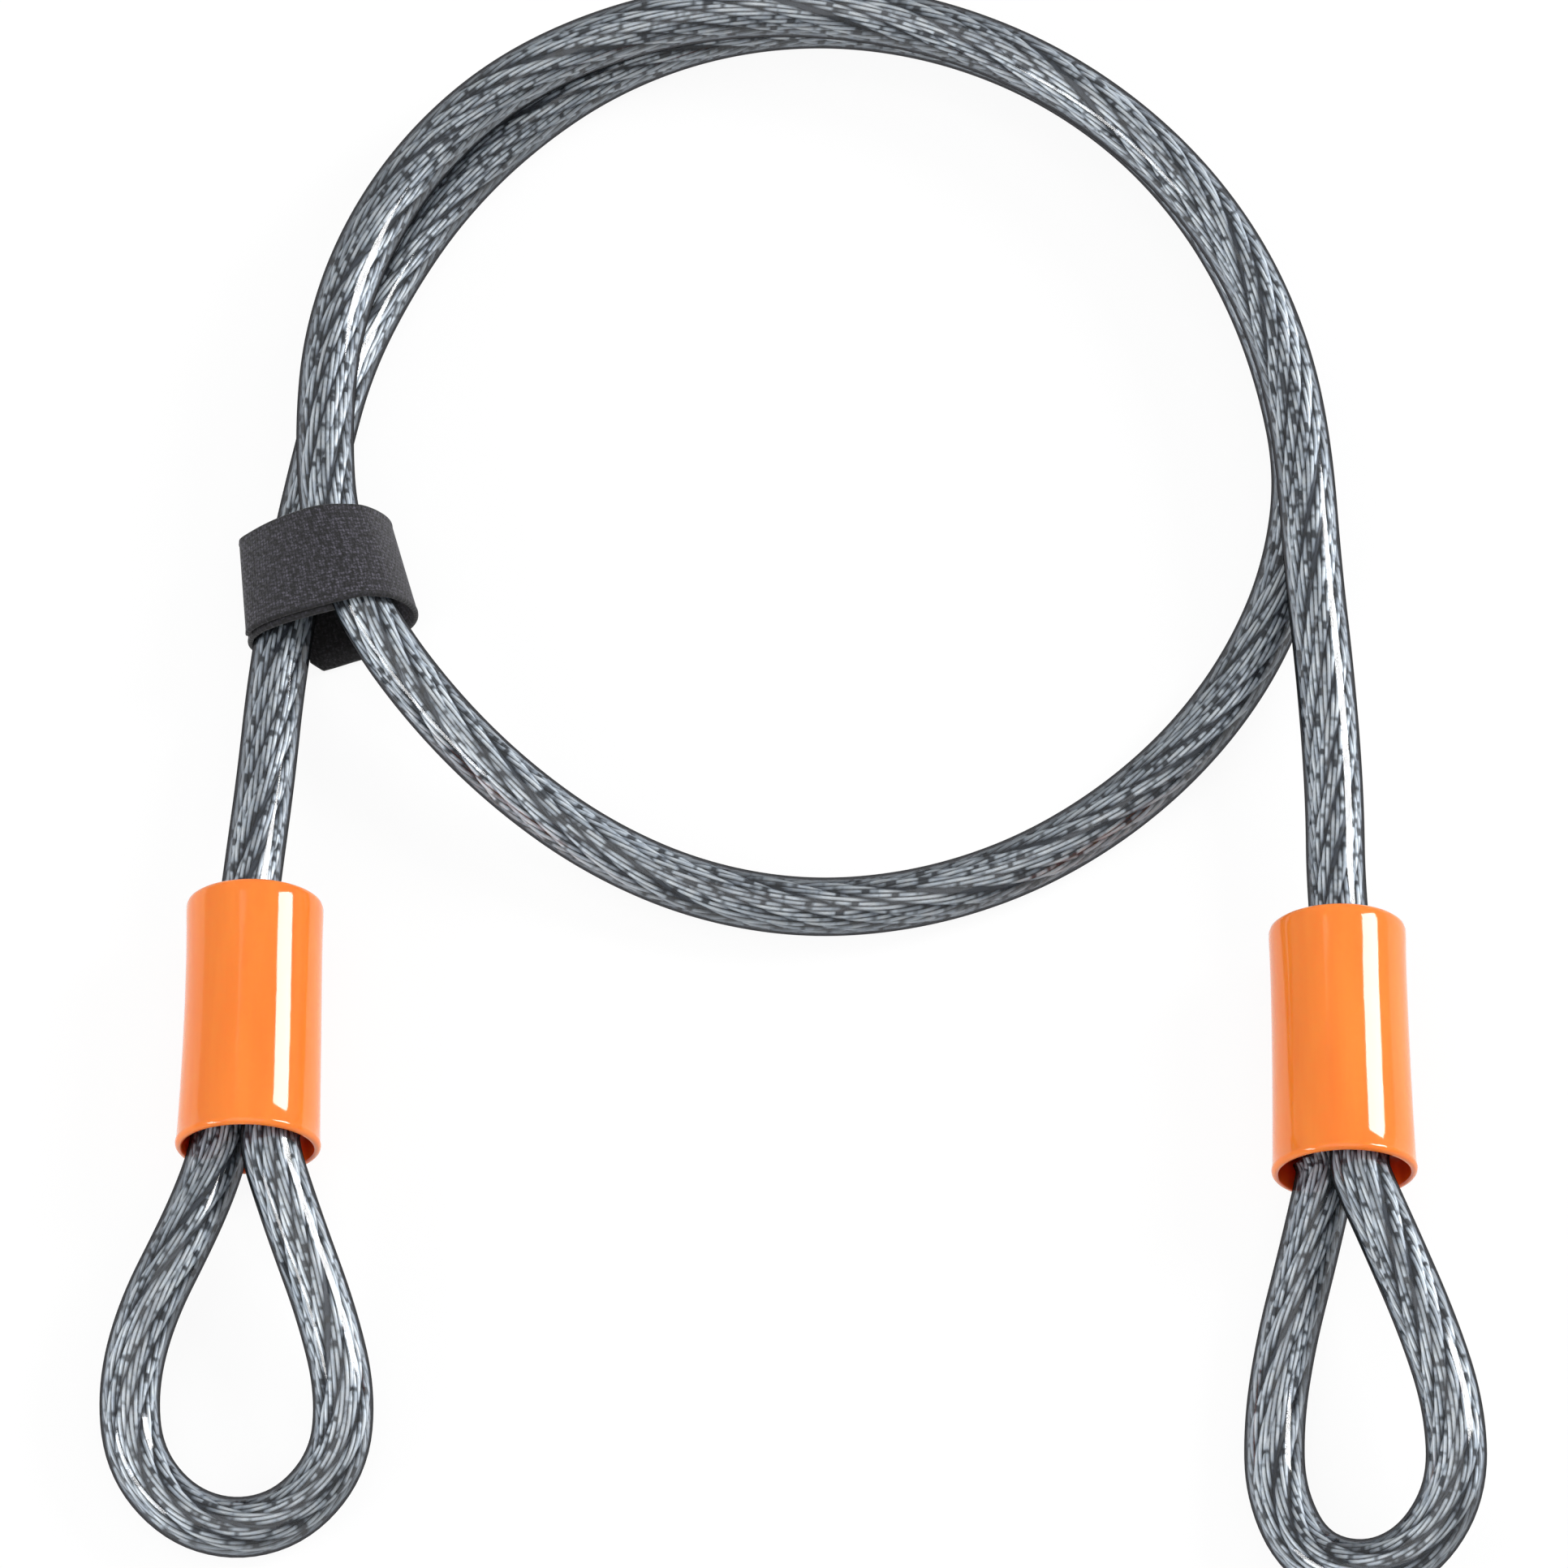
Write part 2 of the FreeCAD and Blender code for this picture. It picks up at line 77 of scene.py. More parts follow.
camera_distance = 1349.2
camera_tilt = math.radians(24)
camera_aim = (-5, -58)
camera = bpy.data.objects.new("camera", bpy.data.cameras.new("camera"))
bpy.context.scene.collection.objects.link(camera)
camera.location = place(camera_aim[0], camera_aim[1] - camera_distance * math.sin(camera_tilt),
                        camera_distance * math.cos(camera_tilt))
camera.rotation_euler = (camera_tilt, 0, 0)
camera.data.lens = 180
camera.data.sensor_width = 36
camera.data.clip_start = 0.05
camera.data.clip_end = 20
bpy.context.scene.camera = camera


# Routes of the cable

# Ring: angle in degrees clockwise from the left, radius and height of the cable's middle
ring_stations = [
    (-12, 90.8, 8.0),
    (-6, 87.7, 7.4),
    (2, 85.0, 6.7),
    (12, 84.0, 5.6),
    (24, 83.0, 5.0),
    (40, 83.7, 5.0),
    (54, 85.3, 5.0),
    (70, 88.0, 5.0),
    (90, 89.6, 5.0),
    (112, 89.0, 5.0),
    (130, 87.3, 5.0),
    (146, 85.4, 5.0),
    (164, 84.0, 5.0),
    (182, 85.2, 5.0),
    (204, 84.1, 5.0),
    (228, 83.1, 5.0),
    (250, 83.3, 5.0),
    (272, 83.1, 5.0),
    (290, 81.9, 6.4),
    (306, 80.9, 9.6),
    (322, 81.4, 13.4),
    (336, 83.3, 16.4),
    (348, 84.6, 17.6),
    (360, 84.2, 17.4),
    (374, 85.7, 16.4),
    (390, 87.4, 15.7),
    (410, 88.8, 15.6),
    (430, 87.6, 15.6),
    (450, 85.6, 15.6),
    (470, 84.3, 15.6),
    (490, 83.1, 15.6),
    (510, 82.8, 15.6),
    (528, 83.3, 15.6),
    (541, 84.5, 15.6),
]


def ring_point(angle, radius, height):
    turn = math.radians(angle)
    return (-radius * math.cos(turn), radius * math.sin(turn), height)


def station_value(angle, index):
    """Value of a ring station at an angle, on a smooth line through the stations."""
    angles = [station[0] for station in ring_stations]
    values = [station[index] for station in ring_stations]
    slopes = np.gradient(values, angles)
    k = min(max(int(np.searchsorted(angles, angle)) - 1, 0), len(angles) - 2)
    width = angles[k + 1] - angles[k]
    t = (angle - angles[k]) / width
    return (values[k] * (1 + 2 * t) * (1 - t) ** 2 + slopes[k] * width * t * (1 - t) ** 2
            + values[k + 1] * t * t * (3 - 2 * t) + slopes[k + 1] * width * t * t * (t - 1))


# A spline of order 3 runs inside its points: this share is a point's own, the rest is its two neighbours'
ring_point_count = 44
own_share = 0.75


def ring_route():
    """The coil's turns as points of the cable's own spline, moved out so that the spline keeps the radius."""
    first = ring_stations[0][0]
    last = ring_stations[-1][0]
    step = (last - first) / (ring_point_count - 1)
    swell = 1 / (own_share + (1 - own_share) * math.cos(math.radians(step)))
    route = []
    for i in range(ring_point_count):
        angle = first + step * i
        height = max(station_value(angle, 2), cable_radius)
        route.append(ring_point(angle, station_value(angle, 1) * swell, height))
    return route


# Where the long cable ends in a sleeve and where it enters one: offset from its axis, depth from its mouth
cable_end = (2.37, 31)
cable_entry = (0.6, 50)


def sleeve_point(mouth, main, offset, depth):
    return (mouth[0] + main[0] * offset, mouth[1] + depth, mouth[2] + main[1] * offset)


def eye_point(mouth, across, reach, rise):
    return (mouth[0] + across, mouth[1] - reach, mouth[2] + rise)


# Side of the sleeve's axis, across and up, on which the long cable lies
left_main = (-1.0, 0.0)
right_main = (math.cos(math.radians(50)), math.sin(math.radians(50)))

cable_route = [
    sleeve_point(left_mouth, left_main, *cable_end),
    sleeve_point(left_mouth, left_main, *cable_entry),
    (-93.4, -61.5, 10.6),
    (-92.3, -43.0, 8.8),
]
cable_route += ring_route()
cable_route += [
    (86.0, -24.0, 15.2),
    (87.7, -45.0, 14.5),
    (88.7, -66.0, 13.3),
    sleeve_point(right_mouth, right_main, *cable_entry),
    sleeve_point(right_mouth, right_main, *cable_end),
]

# Eyes: across, reach from the sleeve's mouth and rise, from one leg in the sleeve round to the other
left_eye_points = [
    (-4.75, -5.2, -1.6),
    (-4.8, -2.6, -2.4),
    (-5.5, 0.8, -2.9),
    (-7.2, 6.5, -2.9),
    (-9.9, 14.2, -1.9),
    (-16.4, 28.5, -2.6),
    (-19.1, 41.0, -4.6),
    (-17.6, 52.8, -6.4),
    (-10.2, 61.6, -7.2),
    (-0.4, 64.6, -7.3),
    (9.2, 61.6, -7.2),
    (16.2, 52.6, -6.4),
    (17.0, 41.0, -4.6),
    (13.8, 28.5, -2.2),
    (8.8, 15.6, 1.2),
    (6.2, 8.3, 2.6),
    (4.3, 2.6, 3.2),
    (3.6, -2.2, 3.4),
    (4.75, -5.2, 1.6),
]
right_eye_points = [
    (3.2, -5.2, 3.9),
    (2.2, -0.5, 4.4),
    (3.7, 4.2, 4.6),
    (7.2, 13.2, 5.0),
    (13.0, 29.0, 5.8),
    (16.8, 43.0, 5.8),
    (17.0, 56.5, 4.8),
    (11.0, 66.4, 2.4),
    (2.1, 69.6, -1.0),
    (-7.3, 65.6, -4.4),
    (-12.1, 54.0, -6.7),
    (-12.0, 41.0, -7.3),
    (-9.7, 27.5, -6.6),
    (-6.1, 14.0, -5.5),
    (-4.3, 6.8, -5.0),
    (-2.75, 0.4, -4.6),
    (-2.1, -3.0, -4.4),
    (-3.2, -5.2, -3.9),
]

left_eye_route = [eye_point(left_mouth, *point) for point in left_eye_points]
right_eye_route = [eye_point(right_mouth, *point) for point in right_eye_points]


def spline_points(name, route, resolution):
    """Points read from the NURBS spline that has the route's points as its control points."""
    curve = bpy.data.curves.new(name, "CURVE")
    curve.dimensions = "3D"
    curve.resolution_u = resolution
    spline = curve.splines.new("NURBS")
    spline.points.add(len(route) - 1)
    for knot, point in zip(spline.points, route):
        knot.co = (*place(*point), 1)
    spline.order_u = 3
    spline.use_endpoint_u = True
    holder = bpy.data.objects.new(name, curve)
    bpy.context.scene.collection.objects.link(holder)
    mesh = bpy.data.meshes.new_from_object(holder)
    points = np.array([v.co for v in mesh.vertices])
    bpy.data.objects.remove(holder)
    bpy.data.curves.remove(curve)
    bpy.data.meshes.remove(mesh)
    return points


def evenly(points, spacing):
    """The same line with points at an even spacing, and their distances along it."""
    steps = np.linalg.norm(np.diff(points, axis=0), axis=1)
    along = np.concatenate([[0], np.cumsum(steps)])
    count = int(round(along[-1] / spacing)) + 1
    wanted = np.linspace(0, along[-1], count)
    line = np.stack([np.interp(wanted, along, points[:, k]) for k in range(3)], axis=1)
    return line, wanted


def unit_rows(rows):
    return rows / np.linalg.norm(rows, axis=1, keepdims=True)


def frames_along(line):
    """Two side directions that turn as little as they can along a line."""
    tangents = unit_rows(np.gradient(line, axis=0))
    sides = np.zeros_like(line)
    side = np.cross(tangents[0], (0, 0, 1))
    sides[0] = side / np.linalg.norm(side)
    for i in range(1, len(line)):
        side = sides[i - 1] - tangents[i] * np.dot(sides[i - 1], tangents[i])
        sides[i] = side / np.linalg.norm(side)
    return sides, np.cross(tangents, sides)


def grid_mesh(name, grid, uv_around, uv_along):
    """A smooth mesh object from a grid of points: rows along, columns around and closed."""
    rows, columns = grid.shape[:2]
    i, j = np.meshgrid(np.arange(rows - 1), np.arange(columns), indexing="ij")
    i = i.ravel()
    j = j.ravel()
    k = (j + 1) % columns
    faces = np.stack([i * columns + j, i * columns + k, (i + 1) * columns + k, (i + 1) * columns + j], axis=1)
    mesh = bpy.data.meshes.new(name)
    mesh.from_pydata(grid.reshape(-1, 3), [], faces)
    mesh.polygons.foreach_set("use_smooth", np.ones(len(faces), bool))
    layer = mesh.uv_layers.new(name="lay")
    u_low = uv_around[j]
    u_high = uv_around[j + 1]
    v_low = uv_along[i]
    v_high = uv_along[i + 1]
    uv = np.stack([u_low, v_low, u_high, v_low, u_high, v_high, u_low, v_high], axis=1)
    layer.data.foreach_set("uv", uv.ravel().astype(np.float32))
    mesh.update()
    made = bpy.data.objects.new(name, mesh)
    bpy.context.scene.collection.objects.link(made)
    return made


def close_mesh(piece, extra_faces=(), merge_distance=None):
    """Adds faces by their corners' numbers, merges points that meet, and turns every face outward."""
    builder = bmesh.new()
    builder.from_mesh(piece.data)
    builder.verts.ensure_lookup_table()
    for corners in extra_faces:
        builder.faces.new([builder.verts[corner] for corner in corners])
    if merge_distance:
        bmesh.ops.remove_doubles(builder, verts=builder.verts, dist=merge_distance)
    bmesh.ops.recalc_face_normals(builder, faces=builder.faces)
    builder.to_mesh(piece.data)
    builder.free()
    return piece


def join(name, objects):
    """One object from several meshes."""
    with bpy.context.temp_override(active_object=objects[0], selected_editable_objects=objects):
        bpy.ops.object.join()
    objects[0].name = name
    objects[0].data.name = name
    return objects[0]


def tube(name, line, along, radius, columns):
    """A round tube along a line."""
    side, other = frames_along(line)
    angles = np.linspace(0, 2 * math.pi, columns, endpoint=False)[None, :, None]
    ring = np.cos(angles) * side[:, None, :] + np.sin(angles) * other[:, None, :]
    grid = line[:, None, :] + ring * radius
    return grid_mesh(name, grid, np.linspace(0, 1, columns + 1), along)


# Steel rope: ten strands of six wires round a core, drawn as wide as the clear jacket makes it look

rope_radius = 4.62
rope_spacing = 1.0 * MM
strand_count = 10
wire_count = 6
strand_lay = 90.0 * MM
wire_lay = 19.0 * MM
wire_profile = np.radians([-30, -15, 0, 15])
core_columns = 16

# Unevenness of the lay: angle, length of its wave and phase from one strand to the next
strand_waves = [(0.07, 11 * MM, 2.1), (0.06, 29 * MM, 4.3)]
wire_wave = (0.4, 7 * MM, 1.7)

# Turn of the wires from one strand to the next, in radians
wire_turn = 0.9


def add_values(piece, name, values):
    """A value for each vertex, which a material reads by its name."""
    layer = piece.data.attributes.new(name, "FLOAT", "POINT")
    layer.data.foreach_set("value", values.ravel().astype(np.float32))


def lay_wave(along, strand, angle, length, phase):
    return angle * np.sin(along / length + phase * strand)


def rope(name, points, groups):
    """The rope's strands in groups of whole strands, one object for each group, and the core in the last."""
    line, along = evenly(points, rope_spacing)
    side, other = frames_along(line)
    outer = rope_radius * MM
    strand_radius = outer / (1 + 1 / math.sin(math.pi / strand_count))
    wire_radius = strand_radius / 3
    centre_radius = outer - strand_radius
    profile = 2 * wire_radius * np.cos(wire_profile) + np.sqrt(
        np.maximum(wire_radius ** 2 - (2 * wire_radius * np.sin(wire_profile)) ** 2, 0))
    wire_angles = np.repeat(2 * math.pi * np.arange(wire_count) / wire_count, len(wire_profile))
    angles = wire_angles + np.tile(wire_profile, wire_count)
    radii = np.tile(profile, wire_count)
    pieces = []
    for strand in range(strand_count):
        wander = sum(lay_wave(along, strand, *wave) for wave in strand_waves)
        turn = 2 * math.pi * (strand / strand_count + along / strand_lay) + wander
        outward = np.cos(turn)[:, None] * side + np.sin(turn)[:, None] * other
        centre = line + outward * centre_radius
        heading = unit_rows(np.gradient(centre, axis=0))
        across = unit_rows(np.cross(heading, outward))
        outward = np.cross(across, heading)
        twist = wire_turn * strand - 2 * math.pi * along / wire_lay + lay_wave(along, strand, *wire_wave)
        theta = angles[None, :] + twist[:, None]
        grid = centre[:, None, :] + radii[None, :, None] * (
            np.cos(theta)[:, :, None] * outward[:, None, :] + np.sin(theta)[:, :, None] * across[:, None, :])
        around = np.arange(len(angles) + 1) / len(wire_profile) + wire_count * strand
        piece = grid_mesh(name, grid, around, along)
        add_values(piece, "lift", np.cos(wire_angles[None, :] + twist[:, None]))
        pieces.append(piece)
    core = tube(name, line, along, centre_radius, core_columns)
    # The core gets the darkest painted shade.
    add_values(core, "lift", np.full(len(core.data.vertices), -1.0))
    pieces.append(core)
    starts = [round(strand_count * k / groups) for k in range(groups)] + [len(pieces)]
    return [join("%s_%d" % (name, k + 1), pieces[starts[k]:starts[k + 1]]) for k in range(groups)]


# Materials


def add_node(tree, kind, inputs=None, **settings):
    """A node with its settings; an input is a value or another node's output."""
    node = tree.nodes.new(kind)
    for key, value in settings.items():
        setattr(node, key, value)
    for key, value in (inputs or {}).items():
        if isinstance(value, bpy.types.NodeSocket):
            tree.links.new(value, node.inputs[key])
        else:
            node.inputs[key].default_value = value
    return node


def add_ramp(tree, factor, stops):
    """A colour ramp; each stop is a position and a colour."""
    node = tree.nodes.new("ShaderNodeValToRGB")
    tree.links.new(factor, node.inputs["Fac"])
    elements = node.color_ramp.elements
    while len(elements) < len(stops):
        elements.new(0.5)
    for element, (position, color) in zip(elements, stops):
        element.position = position
        element.color = (*color, 1)
    return node.outputs["Color"]


def multiply(tree, first, second):
    return add_node(tree, "ShaderNodeMix", {0: 1.0, 6: first, 7: second},
                    data_type="RGBA", blend_type="MULTIPLY").outputs[2]


def math_node(tree, operation, first, second=0.0):
    return add_node(tree, "ShaderNodeMath", {0: first, 1: second}, operation=operation).outputs[0]


def noise(tree, vector, scale, detail, output="Fac"):
    return add_node(tree, "ShaderNodeTexNoise", {
        "Vector": vector, "Scale": scale, "Detail": detail}).outputs[output]


def bump_from(tree, height, strength, distance):
    return add_node(tree, "ShaderNodeBump", {
        "Strength": strength, "Distance": distance, "Height": height}).outputs[0]


def stretch_coords(tree, coords, scale):
    return add_node(tree, "ShaderNodeMapping", {"Vector": coords, "Scale": scale}).outputs[0]


def new_look(name):
    """An empty material and its node tree."""
    material = bpy.data.materials.new(name)
    material.use_nodes = True
    tree = material.node_tree
    tree.nodes.clear()
    return material, tree


def show(tree, shader):
    add_node(tree, "ShaderNodeOutputMaterial", {"Surface": shader})


def clear_jacket_look():
    """Clear smoke-grey plastic: a tinted film that darkens where it is seen edge-on, partly for its longer
    path there and partly as painted dark rims, under a gloss that is painted darker towards the rims.
    """
    material, tree = new_look("clear_jacket")
    facing = add_node(tree, "ShaderNodeLayerWeight", {"Blend": 0.5}).outputs["Facing"]
    # Film tint: partly the jacket's own smoke grey, partly painted dark rims where it is seen edge-on.
    film_tint_and_rim_shade = add_ramp(tree, facing, [
        (0.0, (0.955, 0.98, 1.0)),
        (0.38, (0.86, 0.895, 0.93)),
        (0.56, (0.41, 0.44, 0.48)),
        (0.66, (0.15, 0.16, 0.18)),
        (0.80, (0.03, 0.033, 0.04)),
    ])
    film = add_node(tree, "ShaderNodeBsdfTransparent", {"Color": film_tint_and_rim_shade}).outputs[0]
    haze = add_node(tree, "ShaderNodeBsdfDiffuse", {"Color": (0.55, 0.60, 0.66, 1)}).outputs[0]
    body = add_node(tree, "ShaderNodeMixShader", {0: 0.02, 1: film, 2: haze}).outputs[0]
    lay = add_node(tree, "ShaderNodeUVMap", uv_map="lay").outputs[0]
    waves = noise(tree, stretch_coords(tree, lay, (3.0, 70.0, 1.0)), 1.0, 1.0)
    bump = bump_from(tree, waves, 0.03, 0.0005)
    # Painted shade on the gloss: its reflection is dimmed towards the rims.
    gloss_with_painted_dark_rims = add_ramp(tree, facing, [
        (0.40, (1.0, 1.0, 1.0)),
        (0.62, (0.38, 0.38, 0.40)),
        (0.84, (0.05, 0.05, 0.055)),
    ])
    gloss = add_node(tree, "ShaderNodeBsdfGlossy", {
        "Color": gloss_with_painted_dark_rims, "Roughness": 0.07, "Normal": bump}).outputs[0]
    fresnel = add_node(tree, "ShaderNodeFresnel", {"IOR": 1.5, "Normal": bump}).outputs[0]
    show(tree, add_node(tree, "ShaderNodeMixShader", {0: fresnel, 1: body, 2: gloss}).outputs[0])
    return material


# How often the wires' painted glints and painted reflection patches change: noise steps for each metre of
# rope, and from one wire to the next
glint_dashes_per_metre = 400.0
reflection_patches_per_metre = 110.0
noise_wire_step = 3.7


def wire_look():
    """Galvanised wire with painted light and shade: painted shade in the grooves between strands and between
    wires, lighter on each strand's crown, and painted glints and reflection patches along its length.
    """
    material, tree = new_look("steel_wire")
    lay = add_node(tree, "ShaderNodeUVMap", uv_map="lay").outputs[0]
    split = add_node(tree, "ShaderNodeSeparateXYZ", {0: lay})
    wire = math_node(tree, "MULTIPLY", math_node(tree, "FLOOR", split.outputs["X"]), noise_wire_step)
    short = math_node(tree, "MULTIPLY", split.outputs["Y"], glint_dashes_per_metre)
    glint_spot = add_node(tree, "ShaderNodeCombineXYZ", {"X": wire, "Y": short}).outputs[0]
    # Painted glints: short bright dashes along each wire, on dark wire between them.
    glint_dashes = add_ramp(tree, noise(tree, glint_spot, 1.0, 1.0), [
        (0.35, (0.06, 0.065, 0.075)),
        (0.46, (0.85, 0.885, 0.93)),
        (0.62, (1.0, 1.0, 1.0)),
    ])
    # Painted reflection: longer lighter patches along the rope.
    long = math_node(tree, "MULTIPLY", split.outputs["Y"], reflection_patches_per_metre)
    stretch = add_node(tree, "ShaderNodeCombineXYZ", {"X": long, "Y": wire}).outputs[0]
    reflection_patches = add_ramp(tree, noise(tree, stretch, 1.0, 1.0), [
        (0.36, (0.66, 0.68, 0.71)),
        (0.53, (1.0, 1.0, 1.0)),
    ])
    lift = add_node(tree, "ShaderNodeAttribute", attribute_name="lift").outputs["Fac"]
    # Painted shade: darkest on wires that face the rope's core, lightest on each strand's crown.
    height = add_ramp(tree, lift, [
        (0.0, (0.035, 0.042, 0.055)),
        (0.25, (0.38, 0.40, 0.43)),
        (0.78, (0.99, 1.0, 1.0)),
    ])
    # Painted shade in the grooves between neighbouring wires.
    across_wire = math_node(tree, "SUBTRACT", math_node(tree, "FRACT", split.outputs["X"]), 0.5)
    painted_groove_shade = add_ramp(tree, math_node(tree, "ABSOLUTE", across_wire), [
        (0.29, (1.0, 1.0, 1.0)),
        (0.45, (0.03, 0.032, 0.036)),
    ])
    color = multiply(tree, multiply(tree, multiply(tree, height, glint_dashes), reflection_patches), painted_groove_shade)
    steel = add_node(tree, "ShaderNodeBsdfPrincipled", {
        "Base Color": color, "Metallic": 0.25, "Roughness": 0.48})
    show(tree, steel.outputs[0])
    return material


def sleeve_look():
    """Glossy moulded plastic, with painted shade: lighter on its thin lip and deep red inside, for the shade
    there and the light that comes through the wall.
    """
    material, tree = new_look("sleeve_plastic")
    coords = add_node(tree, "ShaderNodeTexCoord").outputs["Object"]
    streaks = noise(tree, stretch_coords(tree, coords, (1.0, 0.12, 1.0)), 260.0, 3.0)
    outside = add_ramp(tree, streaks, [(0.3, (0.74, 0.178, 0.022)), (0.7, (0.79, 0.215, 0.029))])
    # Painted shade: the attribute named depth holds each row's painted shade, from 0 outside to 1 deepest in.
    depth = add_node(tree, "ShaderNodeAttribute", attribute_name="depth").outputs["Fac"]
    painted_inner_shade = add_ramp(tree, depth, [
        (0.0, (1.0, 1.0, 1.0)),
        (0.33, (1.0, 0.62, 0.6)),
        (0.66, (0.96, 0.26, 0.3)),
        (1.0, (0.5, 0.07, 0.1)),
    ])
    color = multiply(tree, outside, painted_inner_shade)
    bump = bump_from(tree, noise(tree, coords, 70.0, 2.0), 0.15, 0.0006)
    plastic = add_node(tree, "ShaderNodeBsdfPrincipled", {
        "Base Color": color, "Roughness": 0.08, "IOR": 1.5, "Normal": bump,
        "Subsurface Weight": 0.5, "Subsurface Radius": (1.0, 0.3, 0.1), "Subsurface Scale": 0.0016})
    show(tree, plastic.outputs[0])
    return material


def ferrule_look():
    """Pressed aluminium with fine scratches along its length."""
    material, tree = new_look("pressed_aluminium")
    coords = add_node(tree, "ShaderNodeTexCoord").outputs["Object"]
    grain = noise(tree, stretch_coords(tree, coords, (1.0, 0.05, 1.0)), 900.0, 3.0)
    color = add_ramp(tree, grain, [(0.3, (0.52, 0.53, 0.55)), (0.7, (0.72, 0.73, 0.75))])
    bump = bump_from(tree, grain, 0.3, 0.0001)
    metal = add_node(tree, "ShaderNodeBsdfPrincipled", {
        "Base Color": color, "Metallic": 1.0, "Roughness": 0.35, "Normal": bump})
    show(tree, metal.outputs[0])
    return material


# Share of a thread's pitch at which the threads across it lie
weft_share = 0.8


def webbing_look(name, dark, light, pitch, width):
    """Plain weave: threads of the given pitch, over and under in turn, with painted shade along its two
    edges.
    """
    material, tree = new_look(name)
    weave = add_node(tree, "ShaderNodeUVMap", uv_map="lay").outputs[0]
    wobble = noise(tree, weave, 0.9, 2.0, "Color")
    shifted = add_node(tree, "ShaderNodeMix", {0: 0.12, 4: weave, 5: wobble}, data_type="VECTOR").outputs[1]
    split = add_node(tree, "ShaderNodeSeparateXYZ", {0: shifted})
    along = math_node(tree, "DIVIDE", split.outputs["X"], pitch)
    across = math_node(tree, "DIVIDE", split.outputs["Y"], pitch * weft_share)
    whole = math_node(tree, "ADD", math_node(tree, "FLOOR", along), math_node(tree, "FLOOR", across))
    odd = math_node(tree, "PINGPONG", whole, 1.0)
    over = math_node(tree, "SINE", math_node(tree, "MULTIPLY", math_node(tree, "FRACT", along), math.pi))
    under = math_node(tree, "SINE", math_node(tree, "MULTIPLY", math_node(tree, "FRACT", across), math.pi))
    height = add_node(tree, "ShaderNodeMix", {0: odd, 2: over, 3: under}, data_type="FLOAT").outputs[0]
    fuzz = noise(tree, weave, 1.3 / pitch, 3.0)
    tone = math_node(tree, "MULTIPLY", height, math_node(tree, "MULTIPLY", fuzz, fuzz))
    threads = add_ramp(tree, tone, [(0.06, dark), (0.36, light)])
    # Painted shade: darker along both edges of the webbing.
    place_across = add_node(tree, "ShaderNodeSeparateXYZ", {0: weave}).outputs["X"]
    from_edge = math_node(tree, "PINGPONG", place_across, width / 2)
    painted_edge_shade = add_ramp(tree, from_edge, [(0.34, (0.28, 0.28, 0.30)), (0.60, (1.0, 1.0, 1.0))])
    mottle = add_ramp(tree, noise(tree, weave, 0.9, 2.0), [
        (0.40, (0.22, 0.22, 0.22)),
        (0.58, (1.0, 1.0, 1.0)),
    ])
    color = multiply(tree, multiply(tree, threads, painted_edge_shade), mottle)
    bump = bump_from(tree, tone, 0.9, 0.0003)
    cloth = add_node(tree, "ShaderNodeBsdfPrincipled", {
        "Base Color": color, "Roughness": 0.85, "Normal": bump, "Sheen Weight": 0.1})
    show(tree, cloth.outputs[0])
    return material


jacket_material = clear_jacket_look()
wire_material = wire_look()
sleeve_material = sleeve_look()
ferrule_material = ferrule_look()

thread_pitch = 0.7
patch_pitch = 0.4
strap_material = webbing_look(
    "strap_webbing", (0.002, 0.002, 0.003), (0.084, 0.079, 0.104), thread_pitch, strap_width)
# The tab is the strap's webbing drawn darker: painted shade for the shadow that it lies in.
shaded_tab_material = webbing_look(
    "strap_tab_webbing", (0.001, 0.001, 0.0015), (0.034, 0.031, 0.037), thread_pitch, tab_width)
patch_material = webbing_look(
    "hook_and_loop", (0.004, 0.004, 0.005), (0.02, 0.02, 0.022), patch_pitch, strap_width)

jacket_spacing = 1.5 * MM
jacket_columns = 40


def dress(piece, material, body):
    """Gives a piece its only material and the body that it moves with."""
    piece.data.materials.clear()
    piece.data.materials.append(material)
    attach(piece, body)
    return piece


def build_cable(name, route, resolution, groups, jackets, ropes):
    """One stretch of jacketed cable with its rope, which replace the named solids."""
    points = spline_points(name + "_line", route, resolution)
    line, along = evenly(points, jacket_spacing)
    skin = tube(name + "_jacket_skin", line, along, cable_radius * MM, jacket_columns)
    jacket = dress(skin, jacket_material, "cable")
    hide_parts(*jackets)
    strands = rope(name + "_rope_strands", points, groups)
    for piece in strands:
        dress(piece, wire_material, "cable")
        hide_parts(*ropes)


build_cable("cable", cable_route, resolution=32, groups=3,
            jackets=["coil_jacket", "left_tail_jacket", "right_tail_jacket"],
            ropes=["coil_rope", "left_tail_rope", "right_tail_rope"])
build_cable("left_eye", left_eye_route, resolution=24, groups=1,
            jackets=["left_eye_jacket"], ropes=["left_eye_rope"])
build_cable("right_eye", right_eye_route, resolution=24, groups=1,
            jackets=["right_eye_jacket"], ropes=["right_eye_rope"])


# Sleeves: a moulded cover with a lip at its mouth, a slight waist and an end wall with a hole for the cable

sleeve_length = 44.5
sleeve_bore = 10.4
sleeve_floor = 42.0
hole_radius = 5.15
hole_offset = 1.11
sleeve_columns = 96

# Outer face from the mouth to the end wall: depth and radius
sleeve_outside = [
    (0.0, 11.55), (0.12, 11.85), (0.45, 12.12), (0.9, 12.2), (1.2, 12.13), (1.45, 12.05), (4.0, 11.95),
    (10.0, 11.8), (18.0, 11.64), (26.0, 11.53), (34.0, 11.48), (39.0, 11.52), (42.0, 11.59), (43.5, 11.6),
    (44.1, 11.42), (44.4, 11.05), (sleeve_length, 10.6),
]

